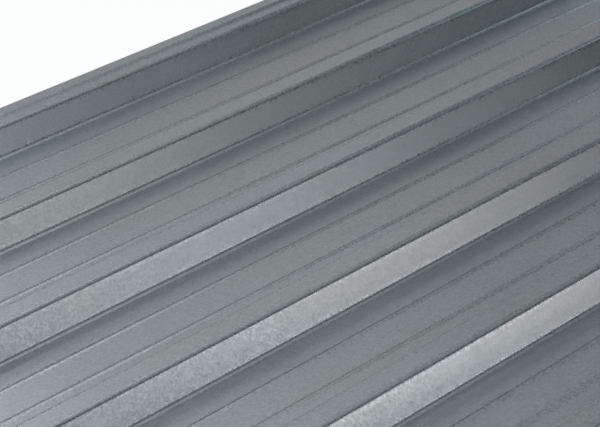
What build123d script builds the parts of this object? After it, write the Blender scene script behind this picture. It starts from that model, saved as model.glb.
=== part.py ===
"""Corrugated roofing sheet of galvanised steel, rolled in one piece.

The sheet lies flat with its wide pans on the ground. X runs along the ribs, Y across
them, and Z up, with the origin under the middle of the sheet. The near edge is at -Y.
"""

import os
from math import atan2, degrees, hypot, radians, sin

from build123d import *

# Blank
sheet_length = 2000.0  # as sold, cut square at both ends
metal = 0.7  # thickness of the rolled steel

# Ribs: flat crests on steep webs, with a wide pan between each two
rib_count = 6
pitch = 200.0  # rib to rib, so that five pans cover a metre
rib_height = 32.0  # from pan to crest, on the same side of the metal
crest_width = 30.5  # between the corners that its bends round off
web_run = 15.0  # how far a web leans over its height
bend_radius = 6.0  # inside radius of every main bend

# Stiffening beads: fine raised lines along each pan
bead_count = 2
bead_spacing = 50.0
bead_width = 7.0
bead_height = 0.9
bead_radius = 4.0

# Near edge: a full web and a narrow toe, which the next sheet covers
toe_width = 12.0

# Far edge: a wider crest with a step up, and a short free leg, which covers the next sheet
lap_shelf = 16.0  # lower part of the crest, at the height of the other crests
lap_step = 3.0
lap_step_run = 4.0
lap_step_radius = 1.5
lap_strip = 19.0  # raised part of the crest
lap_leg_drop = 20.0

# The section is drawn along the underside of the metal, from the near edge to the far one.
# A corner is a point and the radius of its bend on that side of the metal.
crest_corner = bend_radius
foot_corner = bend_radius + metal
web_lean = degrees(atan2(rib_height, web_run))


def rib_centre(index):
    return (index - (rib_count - 1) / 2) * pitch


def near_web(centre):
    """The web that faces the near edge, from its foot up to the crest."""
    top = centre - crest_width / 2
    return [(top - web_run, 0, foot_corner), (top, rib_height, crest_corner)]


def far_web(centre):
    """The web that faces the far edge, from the crest down to its foot."""
    top = centre + crest_width / 2
    return [(top, rib_height, crest_corner), (top + web_run, 0, foot_corner)]


def beads(pan_centre):
    """The beads of one pan, evenly spaced about its middle."""
    corners = []
    for index in range(bead_count):
        ridge = pan_centre + (index - (bead_count - 1) / 2) * bead_spacing
        corners += [
            (ridge - bead_width / 2, 0, bead_radius),
            (ridge, bead_height, bead_radius),
            (ridge + bead_width / 2, 0, bead_radius),
        ]
    return corners


def far_edge(centre):
    """The stepped crest of the far rib and its free leg."""
    step_foot = centre - crest_width / 2 + lap_shelf
    strip_start = step_foot + lap_step_run
    strip_end = strip_start + lap_strip
    top = rib_height + lap_step
    leg_run = lap_leg_drop * web_run / rib_height
    return [
        (step_foot, rib_height, lap_step_radius + metal),
        (strip_start, top, lap_step_radius),
        (strip_end, top, crest_corner),
        (strip_end + leg_run, top - lap_leg_drop, None),
    ]


def section_corners():
    first, last = rib_centre(0), rib_centre(rib_count - 1)
    near_foot = first - crest_width / 2 - web_run
    corners = [(near_foot - toe_width, 0, None)]
    for index in range(rib_count - 1):
        centre = rib_centre(index)
        corners += near_web(centre) + far_web(centre) + beads(centre + pitch / 2)
    return corners + near_web(last) + far_edge(last)


corners = section_corners()
leg_thickness = metal * sin(radians(web_lean))  # the free leg's, measured along Y
far_reach = corners[-1][0] + leg_thickness
middle = (corners[0][0] + far_reach) / 2  # brings the origin under the middle

with BuildPart() as sheet:
    with BuildSketch(Plane.YZ.offset(-sheet_length / 2)):
        with BuildLine():
            FilletPolyline(
                *[(y - middle, z) for y, z, _ in corners],
                radius=[radius for _, _, radius in corners[1:-1]],
            )
            offset(amount=metal, side=Side.LEFT)
        make_face()
    extrude(amount=sheet_length)

developed = sum(hypot(b[0] - a[0], b[1] - a[1]) for a, b in zip(corners, corners[1:]))
print(f"webs lean at {web_lean:.1f} degrees, cover {pitch * (rib_count - 1):.0f} mm")
print(f"flat width before rolling about {developed:.0f} mm")
print(f"box {sheet.part.bounding_box().size}")

os.makedirs("parts", exist_ok=True)
sheet.part.label = "sheet"
export_step(sheet.part, "parts/sheet.step")
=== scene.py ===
from math import pi, radians, tau

import bpy
import numpy as np
from mathutils import Matrix, Vector


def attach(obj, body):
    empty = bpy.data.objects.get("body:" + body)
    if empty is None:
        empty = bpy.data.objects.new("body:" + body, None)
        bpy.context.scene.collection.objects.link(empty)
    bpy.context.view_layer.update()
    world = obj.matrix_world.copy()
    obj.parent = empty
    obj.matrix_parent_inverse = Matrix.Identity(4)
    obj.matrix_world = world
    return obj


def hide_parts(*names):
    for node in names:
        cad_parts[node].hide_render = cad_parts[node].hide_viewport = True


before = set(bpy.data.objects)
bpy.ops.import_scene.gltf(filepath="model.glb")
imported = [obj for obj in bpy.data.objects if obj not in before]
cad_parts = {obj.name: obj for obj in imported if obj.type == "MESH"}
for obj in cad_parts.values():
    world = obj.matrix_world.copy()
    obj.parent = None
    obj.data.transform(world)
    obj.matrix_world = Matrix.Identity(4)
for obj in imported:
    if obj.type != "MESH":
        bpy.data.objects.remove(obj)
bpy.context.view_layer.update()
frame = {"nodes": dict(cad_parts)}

print("frame loaded:", ", ".join(frame["nodes"]))

# Camera: a long lens over the near left corner, looking down across the ribs
cameraValues = {
    "place": (-2.366, -1.8584, 1.2059),
    "aim": (-0.0914, 0.0804, 0.0),
    "roll": -2.608,             # degrees
    "lens": 178.5,              # mm
    "sensor": 36.0,             # mm
    "clip": (0.05, 200.0),      # m
}


def makeCamera(v):
    cam = bpy.data.objects.new("camera", bpy.data.cameras.new("camera"))
    bpy.context.scene.collection.objects.link(cam)
    cam.data.sensor_width = v["sensor"]
    cam.data.lens = v["lens"]
    cam.data.clip_start, cam.data.clip_end = v["clip"]
    place, aim = Vector(v["place"]), Vector(v["aim"])
    look = (aim - place).to_track_quat("-Z", "Y").to_matrix().to_4x4()
    roll = Matrix.Rotation(radians(v["roll"]), 4, "Z")
    cam.matrix_world = Matrix.Translation(place) @ look @ roll
    bpy.context.scene.camera = cam


makeCamera(cameraValues)
print("camera placed")


# Shader expressions: a Wire is a socket that can be added, subtracted and multiplied
class Wire:
    def __init__(self, graph, socket):
        self.graph, self.socket = graph, socket

    def maths(self, operation, a, b):
        return self.graph.node("Math", {"operation": operation}, {0: a, 1: b})

    def __add__(self, other):
        return self.maths("ADD", self, other)

    def __radd__(self, other):
        return self.maths("ADD", other, self)

    def __sub__(self, other):
        return self.maths("SUBTRACT", self, other)

    def __rsub__(self, other):
        return self.maths("SUBTRACT", other, self)

    def __mul__(self, other):
        return self.maths("MULTIPLY", self, other)

    def __rmul__(self, other):
        return self.maths("MULTIPLY", other, self)

    def clamped(self):
        return self.graph.node("Clamp", {}, {"Value": self})

    def ramp(self, low, high, outLow=0.0, outHigh=1.0):
        # straight ramp from outLow at low to outHigh at high, held flat outside
        ends = {"From Min": low, "From Max": high, "To Min": outLow, "To Max": outHigh}
        return self.graph.node("MapRange", {"clamp": True}, {"Value": self, **ends})


class Graph:
    def __init__(self, name):
        self.material = bpy.data.materials.new(name)
        self.material.use_nodes = True
        self.tree = self.material.node_tree
        self.tree.nodes.clear()

    def node(self, kind, settings, values, out=0):
        # makes any node: its settings first, then the numbers or links of its sockets
        made = self.tree.nodes.new("ShaderNode" + kind)
        for key, value in settings.items():
            setattr(made, key, value)
        for key, value in values.items():
            socket = made.inputs[key]
            if isinstance(value, Wire):
                self.tree.links.new(value.socket, socket)
            else:
                socket.default_value = value
        if isinstance(out, (list, tuple)):
            return [Wire(self, made.outputs[o]) for o in out]
        return Wire(self, made.outputs[out]) if len(made.outputs) else made

    def blend(self, factor, a, b):
        # mixes two colours
        return self.node("Mix", {"data_type": "RGBA"}, {0: factor, 6: a, 7: b}, out=2)

    def vector(self, operation, a, b):
        return self.node("VectorMath", {"operation": operation}, {0: a, 1: b})

    def scaled(self, a, factor):
        return self.node("VectorMath", {"operation": "SCALE"}, {0: a, "Scale": factor})

    def noise(self, place, cells, detail, roughness=0.5, out=0):
        # soft noise, with so many cells to the metre, or one number along X and one across
        if isinstance(cells, tuple):
            place, cells = self.vector("MULTIPLY", place, (*cells, 1)), 1.0
        values = {"Vector": place, "Scale": cells, "Detail": detail, "Roughness": roughness}
        return self.node("TexNoise", {}, values, out)


# The sheet: its section is carried along X, with the same sizes as the solid
sheetValues = {
    "length": 2.000, "metal": 0.0007,
    "ribs": 6, "pitch": 0.200, "ribHeight": 0.032, "crest": 0.0305, "webRun": 0.015, "bend": 0.006,
    "beads": 2, "beadSpacing": 0.050, "beadWidth": 0.007, "beadHeight": 0.0009, "beadBend": 0.004,
    "toe": 0.012,
    "lapShelf": 0.016, "lapStep": 0.003, "lapStepRun": 0.004, "lapStepBend": 0.0015,
    "lapStrip": 0.019, "lapLeg": 0.020,
    "flatStep": 0.005,          # longest stretch of a flat between two points of the section
    "bendStep": radians(13),    # largest turn between two points in a bend
    "fineSteps": 60000,         # steps of the running sum that places the section
    "alongSteps": 84,
    "endRows": (0, 0.0004, 0.0012, 0.004),                  # m from an end, for the burr
    "burr": 0.00012, "burrWidth": 0.0012,                   # the cut ends roll over
    "crowns": (0.0003, 0.0002, 0.0004, 0.0002, 0.0003),     # how far each pan stands up
    "crownRun": 0.045,          # width over which it rises from a web's foot
    "crownLevel": 0.9,          # the crown's share before its waves along X
    "crownWaves": ((0.06, 0.71, 1.9), (0.04, 0.37, 4.1)),   # share, length, turn per pan
    "undersideShift": 3.0,      # m, so that the underside has crystals of its own
    "bakeMargin": 0.01,         # round each half of the map for baking
}


def toFirstRib(v):
    # from the near edge to the middle of the first rib
    return v["toe"] + v["webRun"] + v["crest"] / 2


def sectionCorners(v):
    # the underside's corners from the near edge to the far one: y, z and the bend's radius
    inner, outer = v["bend"], v["bend"] + v["metal"]
    centres = (np.arange(v["ribs"]) - (v["ribs"] - 1) / 2) * v["pitch"]
    half, run, height = v["crest"] / 2, v["webRun"], v["ribHeight"]
    corners = [(centres[0] - half - run - v["toe"], 0, 0)]
    for rib in centres[:-1]:
        corners += [(rib - half - run, 0, outer), (rib - half, height, inner)]
        corners += [(rib + half, height, inner), (rib + half + run, 0, outer)]
        for i in range(v["beads"]):
            ridge = rib + v["pitch"] / 2 + (i - (v["beads"] - 1) / 2) * v["beadSpacing"]
            for side in (-0.5, 0, 0.5):
                lift = v["beadHeight"] if side == 0 else 0
                corners.append((ridge + side * v["beadWidth"], lift, v["beadBend"]))
    last, top = centres[-1], height + v["lapStep"]
    stepFoot = last - half + v["lapShelf"]
    stripEnd = stepFoot + v["lapStepRun"] + v["lapStrip"]
    corners += [
        (last - half - run, 0, outer),
        (last - half, height, inner),
        (stepFoot, height, v["lapStepBend"] + v["metal"]),
        (stepFoot + v["lapStepRun"], top, v["lapStepBend"]),
        (stripEnd, top, inner),
        (stripEnd + v["lapLeg"] * run / height, top - v["lapLeg"], 0),
    ]
    corners = np.array(corners)
    leanOut = v["metal"] * height / np.hypot(run, height)
    corners[:, 0] -= (corners[0, 0] + corners[-1, 0] + leanOut) / 2
    return corners


def sectionPath(v):
    # The section's heading is constant on a flat and turns evenly through a bend. Its place is
    # the running sum of the heading's cosine and sine over the width of the flat blank.
    y, z, radius = sectionCorners(v).T
    legs, heading = np.hypot(np.diff(y), np.diff(z)), np.arctan2(np.diff(z), np.diff(y))
    turn = np.diff(heading)
    tangent = np.concatenate(([0], radius[1:-1] * np.tan(abs(turn) / 2), [0]))
    spans = np.empty(2 * len(legs) - 1)
    spans[0::2] = legs - tangent[:-1] - tangent[1:]
    spans[1::2] = radius[1:-1] * abs(turn)
    stations = np.concatenate(([0], np.cumsum(spans)))
    headings = np.repeat(heading, 2)

    parts = np.empty(len(spans), int)      # how many pieces each flat and bend is cut into
    parts[0::2] = np.ceil(spans[0::2] / v["flatStep"])
    parts[1::2] = np.ceil(abs(turn) / v["bendStep"])
    which = np.repeat(np.arange(len(spans)), parts)
    place = np.arange(len(which)) - np.repeat(np.cumsum(parts) - parts, parts)
    width = np.append(stations[which] + spans[which] * place / parts[which], stations[-1])

    fine = np.linspace(0, stations[-1], v["fineSteps"] + 1)
    middle = (fine[1:] + fine[:-1]) / 2
    turnAt = np.interp(middle, stations, headings)
    fineY = y[0] + np.concatenate(([0], np.cumsum(np.cos(turnAt)))) * fine[1]
    fineZ = z[0] + np.concatenate(([0], np.cumsum(np.sin(turnAt)))) * fine[1]
    angle = np.interp(width, stations, headings)
    return width, np.interp(width, fine, fineY), np.interp(width, fine, fineZ), angle


def crownRise(v, x, y, z):
    # Both faces of a pan rise by crown * s-curve(distance from the nearer foot / run) * slow waves
    # along X, with the s-curve 3t^2 - 2t^3, so the metal keeps its thickness and the bends stay.
    inRibs = (y - y[0] - toFirstRib(v)) / v["pitch"]        # a whole number on each rib's middle
    across = inRibs % 1
    pan = np.floor(inRibs).clip(0, v["ribs"] - 2).astype(int)
    foot = v["crest"] / 2 + v["webRun"] + v["bend"] / 2
    t = ((np.minimum(across, 1 - across) * v["pitch"] - foot) / v["crownRun"]).clip(0, 1)
    onPan = z < 2 * v["metal"] + v["beadHeight"]
    crown = np.array(v["crowns"])[pan] * (3 * t ** 2 - 2 * t ** 3) * onPan
    waves = v["crownLevel"]
    for share, length, turn in v["crownWaves"]:
        waves = waves + share * np.sin(tau * x[:, None] / length + turn * pan)
    return crown * waves


def sheetFaces(rows, ring):
    # quads between the rows of the grid, then a cap of quads over the section at each end
    row = np.arange(rows - 1)[:, None] * ring
    i = np.arange(ring)[None, :]
    j = (i + 1) % ring
    walls = np.stack((row + i, row + ring + i, row + ring + j, row + j), -1).reshape(-1, 4)
    k = np.arange(ring // 2 - 1)
    cap = np.stack((k, k + 1, ring - 2 - k, ring - 1 - k), -1)
    farCap = cap[:, ::-1] + (rows - 1) * ring
    return np.concatenate((walls, cap, farCap))


def meshFrom(name, points, quads):
    mesh = bpy.data.meshes.new(name)
    mesh.vertices.add(len(points))
    mesh.vertices.foreach_set("co", points.ravel())
    mesh.loops.add(quads.size)
    mesh.loops.foreach_set("vertex_index", quads.ravel())
    mesh.polygons.add(len(quads))
    mesh.polygons.foreach_set("loop_start", np.arange(len(quads)) * 4)
    mesh.update(calc_edges=True)
    return mesh


def addMaps(v, mesh, quads, x, width):
    # Both maps lay the blank out flat: flatBlank in metres for the patterns, with the underside
    # further on, and OFBake in the unit square for baking, with the underside above the top.
    edge, span = v["bakeMargin"], width / width[-1]
    half = 0.5 - 2 * edge
    unitX = 0.5 + (1 - edge) * x / v["length"]
    unit = np.concatenate((edge + half * span, 0.5 + edge + half * span[::-1]))
    flat = np.concatenate((width, width[::-1] + v["undersideShift"]))
    for name, along, over in (("flatBlank", x, flat), ("OFBake", unitX, unit)):
        at = np.zeros((len(x), len(over), 2))
        at[..., 0] = along[:, None]
        at[..., 1] = over
        layer = mesh.uv_layers.new(name=name)
        layer.uv.foreach_set("vector", at.reshape(-1, 2)[quads].astype(np.float32).ravel())
    mesh.uv_layers.active = mesh.uv_layers["flatBlank"]


def sheetNormals(points, quads, x, width, angle, rise):
    # The section's own normal, leaned back by the slopes of the rise along X and across. Faces on
    # the cut edges and ends have a flat one instead, the cross product of their diagonals.
    slopeX = np.gradient(rise, x, axis=0)
    slopeS = np.gradient(rise, width, axis=1)
    up = np.zeros((len(x), 2, len(width), 3))
    up[..., 0] = -slopeX[:, None]
    up[..., 1] = -np.sin(angle) - slopeS[:, None] * np.cos(angle)
    up[..., 2] = np.cos(angle) - slopeS[:, None] * np.sin(angle)
    up[:, 1] = -up[:, 1, ::-1]
    up /= np.linalg.norm(up, axis=-1, keepdims=True)
    normals = up.reshape(-1, 3)[quads]

    corner = points[quads]
    flat = np.cross(corner[:, 2] - corner[:, 0], corner[:, 3] - corner[:, 1])
    flat /= np.linalg.norm(flat, axis=1, keepdims=True)
    last = len(width) - 1
    edges = np.zeros((len(x) - 1, 2 * len(width)), bool)
    edges[:, [last, -1]] = True
    cut = np.concatenate((edges.ravel(), np.ones(2 * last, bool)))
    normals[cut] = flat[cut][:, None]
    return normals.reshape(-1, 3)


def addMarks(v, mesh, width, angle, fromEnd):
    # bent = how fast the heading turns * the main bends' radius, so 0 on flats and 1 in those
    # bends, and cutEdge = distance from the nearest cut
    bent = abs(np.gradient(angle, width)) * v["bend"]
    bent = np.concatenate((bent, bent[::-1])).clip(0, 1)
    cutEdge = np.minimum(fromEnd[:, None], np.minimum(width, width[-1] - width))
    cutEdge = np.concatenate((cutEdge, cutEdge[:, ::-1]), 1)
    for name, values in (("bent", np.broadcast_to(bent, cutEdge.shape)), ("cutEdge", cutEdge)):
        layer = mesh.attributes.new(name, "FLOAT", "POINT")
        layer.data.foreach_set("value", values.astype(np.float32).ravel())


def makeSheet(v):
    # A grid of stations along X by points round the section: the top face from the near edge to
    # the far one, then the underside back. Top = underside + metal * normal, less the burr, which
    # rolls over by burr * (1 - distance from the end / its width)^2.
    width, y, z, angle = sectionPath(v)
    ends = v["length"] / 2 - np.array(v["endRows"])
    inner = np.linspace(-ends[-1], ends[-1], v["alongSteps"])
    x = np.unique(np.concatenate((-ends, inner, ends)))
    fromEnd = v["length"] / 2 - abs(x)
    rise = crownRise(v, x, y, z)
    rollOver = v["burr"] * (1 - (fromEnd / v["burrWidth"]).clip(0, 1)) ** 2

    grid = np.zeros((len(x), 2, len(y), 3))
    grid[..., 0] = x[:, None, None]
    for face, out in enumerate((v["metal"] + rise - rollOver[:, None], rise)):
        grid[:, face, :, 1] = y - np.sin(angle) * out
        grid[:, face, :, 2] = z + np.cos(angle) * out
    grid[:, 1] = grid[:, 1, ::-1]
    points = grid.reshape(-1, 3)
    quads = sheetFaces(len(x), 2 * len(y))

    mesh = meshFrom("roofSheet", points, quads)
    addMaps(v, mesh, quads, x, width)
    mesh.shade_smooth()
    mesh.normals_split_custom_set(sheetNormals(points, quads, x, width, angle, rise))
    addMarks(v, mesh, width, angle, fromEnd)

    blank = round(width[-1], 4)
    print("sheet:", len(points), "points,", 2 * len(quads), "triangles, blank", blank, "m wide")
    made = bpy.data.objects.new("roofSheet", mesh)
    bpy.context.scene.collection.objects.link(made)
    return made


sheet = makeSheet(sheetValues)


# Bare zinc: fine crystals, clouds and rolling streaks, all laid out on the flat blank
zincValues = {
    "colour": (0.459, 0.499, 0.518),
    "tint": 0.016,                                          # how far cool and warm patches part
    "roughness": 0.33,
    "crystal": 0.0020, "crystalTilt": 0.040,                # m across, and how far each one leans
    "crystalWarp": 0.9,                                     # in crystals
    "warpCells": 0.7, "grainCells": 0.4,                    # to each crystal
    # cells to the metre, or along the sheet and across it
    "cloudCells": 4.5, "hueCells": (1.6, 7.0), "streakCells": (1.3, 420.0),
    "broadCells": (0.9, 45.0), "lineCells": (2.2, 260.0), "guideCells": (26.0, 3.0),
    # shares of the colour; the bends' share is a painted highlight
    "crystalShade": 0.28, "cloudShade": 0.10, "streakShade": 0.035, "lineShade": 0.03,
    "grainShade": 0.08, "bendHighlight": 0.02, "guideShade": 0.07,
    # what each adds to the roughness, and what the bends take off it
    "crystalRough": 0.07, "cloudRough": 0.06, "streakRough": 0.05, "edgeRough": 0.12,
    "bendPolish": 0.05,
    "streakHeight": 0.000012,                               # m
    # noise levels from cool to warm, and where light and dark lines begin and are full
    "hueLevels": (0.35, 0.65), "lightLine": (0.66, 0.74), "darkLine": (0.34, 0.26),
    "edgeColour": (0.36, 0.37, 0.38), "edgeShare": 0.8,
    "edgeReach": (0.00072, 0.00192), "edgeRagged": 0.001,   # m from a cut
    # the guide mark: m off the middle of a pan, half widths, highest z, breaks, fade along X
    "guideOffset": -0.003, "guideWidth": (0.0004, 0.0016), "guideTop": (0.002, 0.004),
    "guideBreaks": (0.42, 0.60), "guideFade": (-0.25, 0.35, 1, 0.25),
}


def makeZinc(v, section):
    g = Graph("galvanisedSteel")
    flat = g.node("UVMap", {"uv_map": "flatBlank"}, {})
    bent = g.node("Attribute", {"attribute_name": "bent"}, {}, out="Fac")
    fromEdge = g.node("Attribute", {"attribute_name": "cutEdge"}, {}, out="Fac")
    place = g.node("TexCoord", {}, {}, out="Object")
    x, y, z = g.node("SeparateXYZ", {}, {0: place}, out=(0, 1, 2))

    # crystals: cells of a warped pattern, each with a shade, a gloss and a lean of its own
    warp = g.noise(flat, v["warpCells"] / v["crystal"], detail=1, out="Color")
    where = g.vector("ADD", flat, g.scaled(warp, v["crystalWarp"] * v["crystal"]))
    cells = {"Vector": where, "Scale": 1 / v["crystal"]}
    cell = g.node("TexVoronoi", {"voronoi_dimensions": "2D"}, cells, out="Color")
    cellShade, cellRough = g.node("SeparateXYZ", {}, {0: cell}, out=(0, 1))

    # clouds some hands wide, long streaks from the rolls, and a few fine lines
    cloud = g.noise(flat, v["cloudCells"], detail=4, roughness=0.55)
    hue = g.noise(flat, v["hueCells"], detail=2)
    streak = g.noise(flat, v["streakCells"], detail=4)
    broad = g.noise(flat, v["broadCells"], detail=2)
    line = g.noise(flat, v["lineCells"], detail=1)
    grain = g.noise(flat, v["grainCells"] / v["crystal"], detail=3)

    # the faint guide mark that the rolls leave along the pans, broken up along X
    middle = section["pitch"] / 2 + v["guideOffset"]
    away = {0: y - (v["firstRib"] + middle), 1: section["pitch"] / 2}
    off = g.node("Math", {"operation": "PINGPONG"}, away)
    broken = g.noise(flat, v["guideCells"], detail=2)
    guide = off.ramp(*v["guideWidth"], 1, 0) * z.ramp(*v["guideTop"], 1, 0)
    guide = guide * broken.ramp(*v["guideBreaks"]) * x.ramp(*v["guideFade"])

    shade = 1 + (cloud - 0.5) * v["cloudShade"] + (streak + broad - 1) * v["streakShade"]
    shade = shade + (cellShade - 0.5) * v["crystalShade"] + (grain - 0.5) * v["grainShade"]
    shade = shade + (line.ramp(*v["lightLine"]) - line.ramp(*v["darkLine"])) * v["lineShade"]
    # painted highlight: the bends are made lighter, standing in for the highlight lines along them
    shade = shade + bent * v["bendHighlight"] - guide * v["guideShade"]
    red, green, blue = v["colour"]
    less, more = 1 - v["tint"], 1 + v["tint"]
    cool, warm = (red * less, green, blue * more, 1), (red * more, green, blue * less, 1)
    tone = g.blend(hue.ramp(*v["hueLevels"]), cool, warm)
    tone = g.scaled(tone, shade)
    edge = (fromEdge + (grain - 0.5) * v["edgeRagged"]).ramp(*v["edgeReach"], 1, 0)
    tone = g.blend(v["edgeShare"] * edge, tone, (*v["edgeColour"], 1))

    rough = v["roughness"] + (cellRough - 0.5) * v["crystalRough"]
    rough = rough + (streak - 0.5) * v["streakRough"] + (cloud - 0.5) * v["cloudRough"]
    rough = rough - bent * v["bendPolish"] + edge * v["edgeRough"]

    # each crystal leans a little, less where it was drawn over a bend, and the streaks stand up
    lean = g.vector("SUBTRACT", cell, (0.5, 0.5, 0.5))
    lean = g.scaled(lean, (1 - bent) * v["crystalTilt"])
    face = g.vector("ADD", lean, g.node("NewGeometry", {}, {}, out="Normal"))
    face = g.node("VectorMath", {"operation": "NORMALIZE"}, {0: face})
    streaks = {"Height": streak, "Distance": v["streakHeight"], "Strength": 1.0, "Normal": face}
    face = g.node("Bump", {}, streaks)
    shader = g.node("BsdfPrincipled", {}, {
        "Base Color": tone, "Metallic": 1.0, "Roughness": rough.clamped(), "Normal": face})
    g.node("OutputMaterial", {}, {"Surface": shader})
    return g.material


nearEdge = float(sectionCorners(sheetValues)[0, 0])
zincValues["firstRib"] = nearEdge + toFirstRib(sheetValues)
sheet.data.materials.append(makeZinc(zincValues, sheetValues))
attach(sheet, "root")
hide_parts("sheet")
print("sheet finished")

# Floor: white to the eye and in the metal, and a plain pale grey to everything else
floorValues = {
    "size": 120.0, "drop": 0.0005,      # m across, and m below the pans
    "grey": 0.85, "white": 0.88,
}


def makeFloor(v):
    half = v["size"] / 2
    corners = [(-half, -half, 0), (half, -half, 0), (half, half, 0), (-half, half, 0)]
    mesh = bpy.data.meshes.new("floor")
    mesh.from_pydata(corners, [], [(0, 1, 2, 3)])
    made = bpy.data.objects.new("floor", mesh)
    bpy.context.scene.collection.objects.link(made)
    made.location.z = -v["drop"]
    g = Graph("floorPaint")
    paint = g.node("BsdfDiffuse", {}, {"Color": (v["grey"], v["grey"], v["grey"], 1)})
    glow = g.node("Emission", {}, {"Color": (1, 1, 1, 1), "Strength": 1.0})
    rays = ("Is Camera Ray", "Is Glossy Ray", "Is Transmission Ray")
    eye, gloss, glass = g.node("LightPath", {}, {}, out=rays)
    seen = (eye + gloss + glass).clamped() * v["white"]
    shader = g.node("MixShader", {}, {0: seen, 1: paint, 2: glow})
    g.node("OutputMaterial", {}, {"Surface": shader})
    mesh.materials.append(g.material)


makeFloor(floorValues)

# Lights: soft boxes on the sides of a room, and a small one that glints in beads and bends
lightValues = {
    "world": 0.02, "worldColour": (0.82, 1.03, 1.08),
    # where the boxes of each side look
    "facing": {
        "near": (0, 1, 0), "far": (0, -1, 0), "left": (1, 0, 0), "right": (-1, 0, 0),
        "ceiling": (0, 0, -1), "hung": (-1.3, -0.9, -1.7),
    },
    # side, place, width and height, glow (where 1 is white) and colour
    "boxes": {
        "keySpot": ("near", (1.7, -2.5, 0.75), (0.6, 0.5), 0.24, (1, 1, 1)),
        "keyFoot": ("near", (1.7, -2.5, 0.25), (0.6, 0.5), 4.1, (1.06, 0.99, 0.97)),
        "keyTop": ("near", (1.7, -2.5, 1.4), (0.6, 0.8), 1.6, (0.97, 1, 1.04)),
        "keyLeft": ("near", (1.1, -2.5, 0.75), (0.6, 0.5), 0.68, (0.90, 1.02, 1.04)),
        "farLeftHigh": ("far", (-1.125, 2.1, 2.8), (1.75, 1.0), 1.3, (0.94, 1, 1.06)),
        "farLeftLow": ("far", (-1.125, 2.1, 2.0), (1.75, 0.4), 13.4, (0.98, 0.99, 1.06)),
        "farMiddleLow": ("far", (0.5, 2.1, 2.0), (1.5, 0.4), 4.2, (1, 1, 1.04)),
        "farMiddleFoot": ("far", (0.85, 2.1, 1.25), (0.8, 0.6), 0.9, (0.98, 1, 1.03)),
        "farRightHigh": ("far", (2.875, 2.2, 2.7), (3.25, 1.4), 0.15, (1, 1, 1.02)),
        "farRightMiddle": ("far", (2.125, 2.2, 1.6), (1.75, 0.8), 0.49, (1.03, 1, 0.99)),
        "farEnd": ("far", (3.75, 2.2, 1.6), (1.5, 0.8), 0.29, (1.05, 0.99, 0.99)),
        "farFoot": ("far", (2.875, 2.2, 0.6), (3.25, 1.2), 0.33, (1, 1, 1)),
        "topMiddle": ("ceiling", (1.5, 0.85, 3.2), (1.4, 3.3), 0.49, (0.99, 1, 1.03)),
        "topRight": ("ceiling", (2.9, 0.85, 3.2), (1.4, 3.3), 0.39, (1, 1, 1.02)),
        "topRightNear": ("ceiling", (2.9, -1.65, 3.2), (1.4, 1.7), 0.35, (0.97, 1.01, 1.01)),
        "topLeft": ("ceiling", (-0.6, 0, 3.2), (2.8, 5), 1.6, (0.93, 1.01, 1.08)),
        "endWall": ("right", (5, 0, 2.25), (5, 1.5), 0.87, (0.85, 1.03, 1.05)),
        "leftWall": ("left", (-2.5, 0, 1.5), (5, 3), 1.65, (0.92, 1.01, 1.03)),
        "glint": ("hung", (1.0, 1.0, 1.7), (0.6, 0.4), 0.8, (1, 1, 1)),
        "keyRight": ("near", (2.3, -2.5, 0.75), (0.6, 0.5), 2.78, (1.06, 0.99, 0.98)),
        "keyRightTop": ("near", (2.3, -2.5, 1.4), (0.6, 0.8), 0.34, (0.90, 1.03, 1.03)),
    },
}


def makeLights(v):
    world = bpy.data.worlds.new("studio")
    bpy.context.scene.world = world
    world.use_nodes = True
    back = world.node_tree.nodes["Background"]
    back.inputs["Color"].default_value = (*v["worldColour"], 1)
    back.inputs["Strength"].default_value = v["world"]
    for name, (side, place, size, glow, colour) in v["boxes"].items():
        lamp = bpy.data.lights.new(name, "AREA")
        lamp.shape = "RECTANGLE"
        lamp.size, lamp.size_y = size
        lamp.energy = pi * glow * lamp.size * lamp.size_y
        lamp.color = colour
        made = bpy.data.objects.new(name, lamp)
        bpy.context.scene.collection.objects.link(made)
        made.location = place
        made.rotation_euler = Vector(v["facing"][side]).to_track_quat("-Z", "Y").to_euler()
        made.visible_camera = False


makeLights(lightValues)
bpy.context.scene.view_settings.view_transform = "Standard"
print("floor and lights ready")
